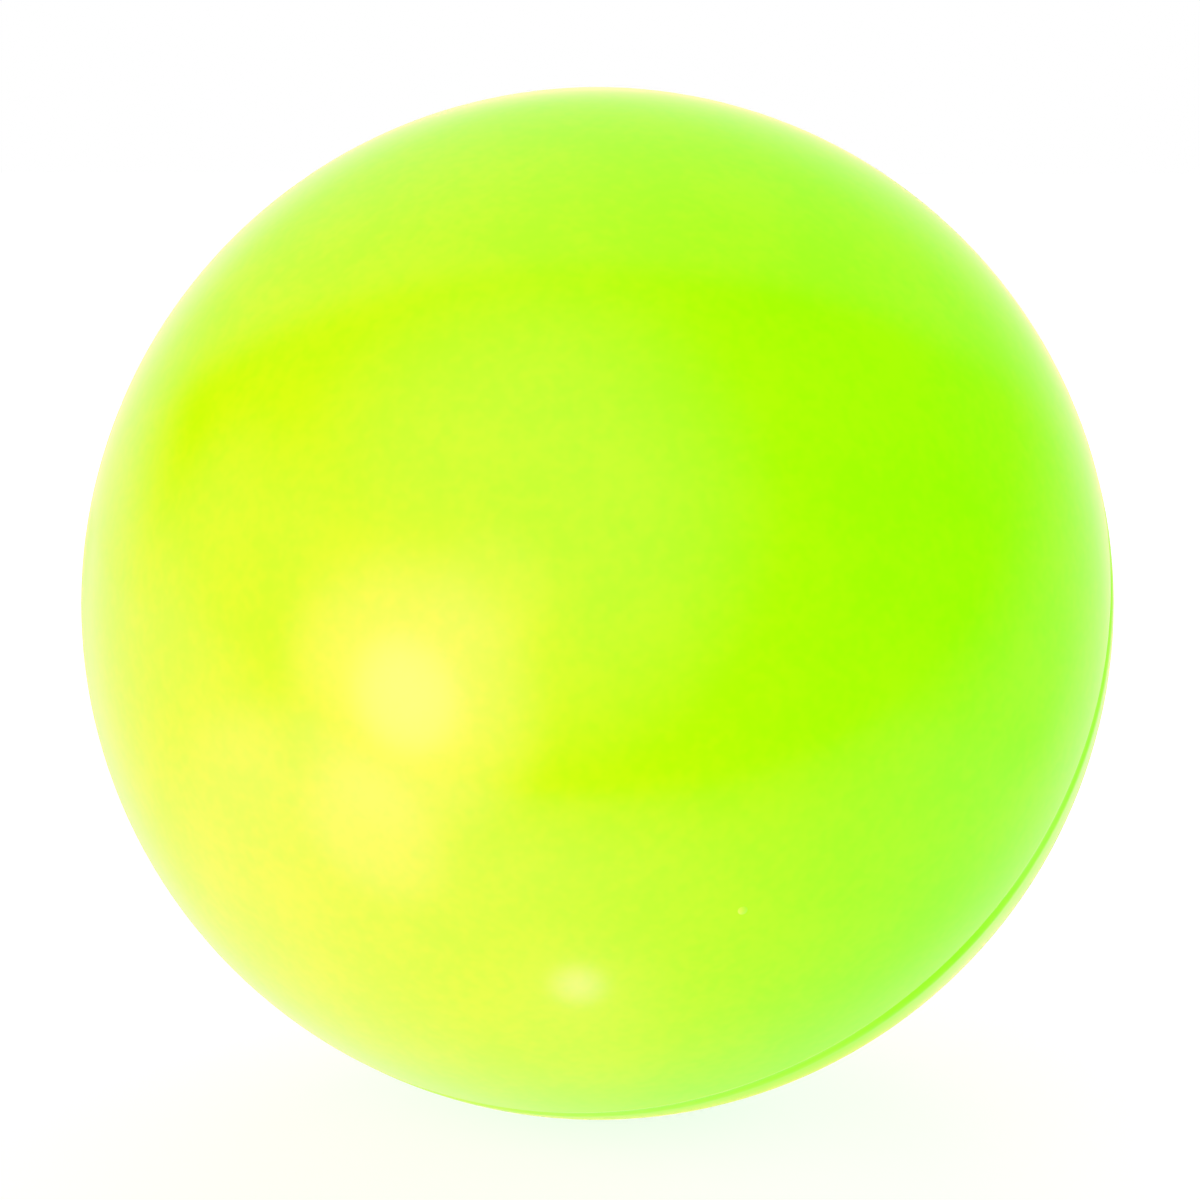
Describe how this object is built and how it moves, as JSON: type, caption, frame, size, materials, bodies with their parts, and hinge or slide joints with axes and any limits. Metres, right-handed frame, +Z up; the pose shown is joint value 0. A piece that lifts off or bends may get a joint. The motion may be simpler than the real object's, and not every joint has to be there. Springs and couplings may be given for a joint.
{
  "type": "street hockey ball",
  "caption": "Smooth hollow ball of soft lime PVC for street hockey, made of half-shells in a stepped, welded seam, with a small plugged vent.",
  "frame": {"origin": "the ball's centre", "axes": "+Z up as the ball lies in the picture, -Y to the front. The moulding axis, through the poles of both half-shells, lies in the YZ plane and leans 25 degrees up from -Y."},
  "size_m": [0.07, 0.07, 0.07],
  "materials": {
    "front_half_shell": "satin",
    "rear_half_shell": "satin",
    "seam_weld_bead": "satin",
    "inner_weld_bead": "satin",
    "vent_plug": "satin"
  },
  "bodies": {
    "root": {"front_half_shell": "front_half_shell", "rear_half_shell": "rear_half_shell", "seam_weld_bead": "seam_weld_bead", "inner_weld_bead": "inner_weld_bead", "vent_plug": "vent_plug"}
  },
  "joints": []
}
